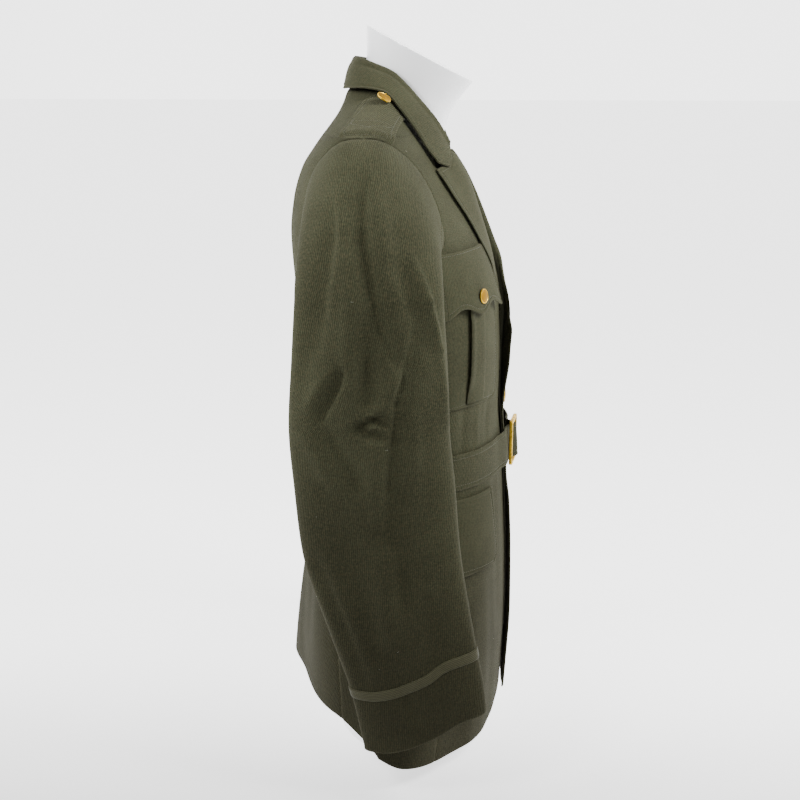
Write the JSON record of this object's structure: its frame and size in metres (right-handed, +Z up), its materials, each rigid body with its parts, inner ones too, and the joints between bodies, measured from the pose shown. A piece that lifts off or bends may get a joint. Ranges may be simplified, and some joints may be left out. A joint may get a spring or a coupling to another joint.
{
  "type": "military dress tunic on dress form",
  "caption": "Belted olive service coat with empty sleeves, notched lapels, flapped patch pockets and gilt buttons, on a white limbless dress form.",
  "frame": {"origin": "middle of the dress form's flat base, on the surface it stands on", "axes": "+Z up, -Y the way the coat faces, +X the wearer's left"},
  "size_m": [0.5528, 0.2949, 0.9053],
  "materials": {
    "olive_cloth": "dark olive drab elastique wool, matt twill",
    "cuff_braid": "olive drab mohair braid, ribbed, slight sheen",
    "gilt_button": "gilt, bright, lightly worn",
    "brass_buckle": "lacquered brass, slightly dull",
    "form_shell": "white glossy moulded shell"
  },
  "bodies": {
    "root": {"front_left": "olive_cloth", "front_right": "olive_cloth", "back_left": "olive_cloth", "back_right": "olive_cloth", "side_left": "olive_cloth", "side_right": "olive_cloth", "sleeve_top_left": "olive_cloth", "sleeve_top_right": "olive_cloth", "sleeve_under_left": "olive_cloth", "sleeve_under_right": "olive_cloth", "lapel_left": "olive_cloth", "lapel_right": "olive_cloth", "shoulder_strap_left": "olive_cloth", "shoulder_strap_right": "olive_cloth", "chest_pocket_left": "olive_cloth", "chest_pocket_right": "olive_cloth", "pocket_pleat_left": "olive_cloth", "pocket_pleat_right": "olive_cloth", "chest_flap_left": "olive_cloth", "chest_flap_right": "olive_cloth", "lower_flap_left": "olive_cloth", "lower_flap_right": "olive_cloth", "collar": "olive_cloth", "belt": "olive_cloth", "cuff_braid_left": "cuff_braid", "cuff_braid_right": "cuff_braid", "strap_button_left": "gilt_button", "strap_button_right": "gilt_button", "chest_button_left": "gilt_button", "chest_button_right": "gilt_button", "lower_button_left": "gilt_button", "lower_button_right": "gilt_button", "front_button_1": "gilt_button", "front_button_2": "gilt_button", "front_button_3": "gilt_button", "buckle": "brass_buckle", "dress_form": "form_shell"}
  },
  "joints": []
}
